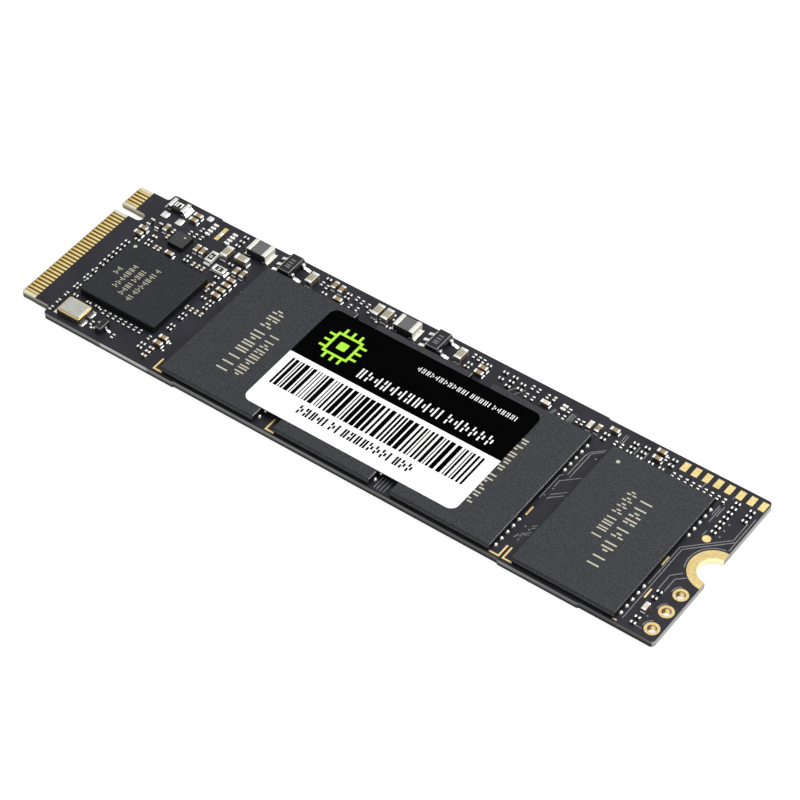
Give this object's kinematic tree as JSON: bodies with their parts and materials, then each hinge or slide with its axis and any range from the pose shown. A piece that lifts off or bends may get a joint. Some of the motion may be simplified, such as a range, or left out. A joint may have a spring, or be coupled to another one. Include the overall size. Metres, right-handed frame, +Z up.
{
  "type": "solid state drive",
  "caption": "Narrow solid state drive card with a keyed gold edge connector, memory packages under a label, a controller and a half-round screw seat",
  "frame": {"origin": "centre of the card's underside", "axes": "+X from the edge connector towards the screw seat, +Y towards the edge beside the key notch, +Z up through the card"},
  "size_m": [0.08, 0.022, 0.0019],
  "materials": {
    "board": "satin solder mask on glass-filled laminate",
    "gold": "gold plated",
    "moulding": "matte moulded",
    "label_paper": "printed black and white",
    "tin": "tin plated",
    "lid_steel": "satin",
    "ferrite": "matte",
    "dark_ceramic": "satin",
    "white_ceramic": "matte",
    "beige_ceramic": "satin",
    "tan_ceramic": "satin"
  },
  "bodies": {
    "root": {"circuit_board": "board", "edge_contacts_top": "gold", "edge_contacts_bottom": "gold", "screw_seat_ring": "gold", "header_eyelets": "gold", "test_pads": "gold", "package_marks": "gold", "controller_chip": "moulding", "memory_chip_1": "moulding", "memory_chip_2": "moulding", "memory_chip_3": "moulding", "memory_chip_4": "moulding", "power_chip": "moulding", "label": "label_paper", "crystal_terminals": "tin", "crystal_base": "dark_ceramic", "crystal_seal_ring": "gold", "crystal_lid": "lid_steel", "transistor_body": "moulding", "transistor_leads": "tin", "regulator_1_body": "moulding", "regulator_1_leads": "tin", "regulator_2_body": "moulding", "regulator_2_leads": "tin", "inductor_1_body": "ferrite", "inductor_1_clips": "tin", "inductor_2_body": "ferrite", "inductor_2_clips": "tin", "fuse_body": "dark_ceramic", "fuse_clips": "tin", "chip_resistor_bodies": "white_ceramic", "chip_resistor_clips": "tin", "chip_resistor_coats": "dark_ceramic", "bulk_capacitor_bodies": "beige_ceramic", "bulk_capacitor_terminals": "tin", "bypass_capacitor_bodies": "tan_ceramic", "bypass_capacitor_terminals": "tin", "bias_resistor_bodies": "dark_ceramic", "bias_resistor_terminals": "tin", "small_capacitor_bodies": "tan_ceramic", "small_capacitor_terminals": "tin", "series_resistor_bodies": "dark_ceramic", "series_resistor_terminals": "tin"}
  },
  "joints": []
}
